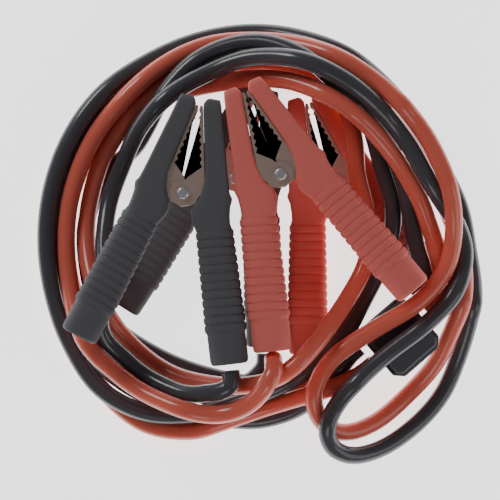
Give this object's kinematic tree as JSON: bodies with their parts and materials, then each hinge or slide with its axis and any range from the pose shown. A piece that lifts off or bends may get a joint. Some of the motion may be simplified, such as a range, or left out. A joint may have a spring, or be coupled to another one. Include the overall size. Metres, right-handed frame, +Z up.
{
  "type": "car jumper cable",
  "caption": "Red and black car jumper cables coiled together, with spring clamps at their ends and an inline housing.",
  "frame": {"origin": "on the floor under the middle of the box around the clamps and the housing", "axes": "+Z up, +Y towards the jaw tips"},
  "size_m": [0.3131, 0.3081, 0.0957],
  "materials": {
    "red_vinyl": "matte",
    "black_vinyl": "matte",
    "red_cable_vinyl": "gloss",
    "black_cable_vinyl": "gloss",
    "coppered_steel": "satin",
    "zinc_steel": "satin"
  },
  "bodies": {
    "set": {"red_cable_front": "red_cable_vinyl", "red_cable_rear": "red_cable_vinyl", "black_cable_front": "black_cable_vinyl", "black_cable_rear": "black_cable_vinyl", "housing_lid": "black_vinyl", "housing_base": "black_vinyl", "front_red_cable_grip": "red_vinyl", "front_red_cable_jaw": "coppered_steel", "front_red_bolt": "zinc_steel", "front_red_nut": "zinc_steel", "front_red_spring": "zinc_steel", "front_black_cable_grip": "black_vinyl", "front_black_cable_jaw": "coppered_steel", "front_black_bolt": "zinc_steel", "front_black_nut": "zinc_steel", "front_black_spring": "zinc_steel", "rear_red_cable_grip": "red_vinyl", "rear_red_cable_jaw": "coppered_steel", "rear_red_bolt": "zinc_steel", "rear_red_nut": "zinc_steel", "rear_red_spring": "zinc_steel", "rear_black_cable_grip": "black_vinyl", "rear_black_cable_jaw": "coppered_steel", "rear_black_bolt": "zinc_steel", "rear_black_nut": "zinc_steel", "rear_black_spring": "zinc_steel"},
    "front_red_free_arm": {"front_red_free_grip": "red_vinyl", "front_red_free_jaw": "coppered_steel"},
    "front_black_free_arm": {"front_black_free_grip": "black_vinyl", "front_black_free_jaw": "coppered_steel"},
    "rear_red_free_arm": {"rear_red_free_grip": "red_vinyl", "rear_red_free_jaw": "coppered_steel"},
    "rear_black_free_arm": {"rear_black_free_grip": "black_vinyl", "rear_black_free_jaw": "coppered_steel"}
  },
  "joints": [
    {"name": "front_red_open", "type": "hinge", "parent": "set", "child": "front_red_free_arm", "pos_m": [0.00921, 0.0367, 0.07559], "axis": [0, 0, -1], "range_deg": [0, 11], "stiffness_Nm_per_rad": 0.9, "springref_deg": -11.46},
    {"name": "front_black_open", "type": "hinge", "parent": "set", "child": "front_black_free_arm", "pos_m": [-0.05719, 0.0237, 0.07459], "axis": [0, 0, 1], "range_deg": [0, 11], "stiffness_Nm_per_rad": 0.9, "springref_deg": -11.46},
    {"name": "rear_red_open", "type": "hinge", "parent": "set", "child": "rear_red_free_arm", "pos_m": [0.04751, 0.0307, 0.01159], "axis": [0, 0, -1], "range_deg": [0, 11], "stiffness_Nm_per_rad": 0.9, "springref_deg": -11.46},
    {"name": "rear_black_open", "type": "hinge", "parent": "set", "child": "rear_black_free_arm", "pos_m": [-0.02249, 0.0357, 0.01159], "axis": [0, 0, 1], "range_deg": [0, 11], "stiffness_Nm_per_rad": 0.9, "springref_deg": -11.46}
  ]
}
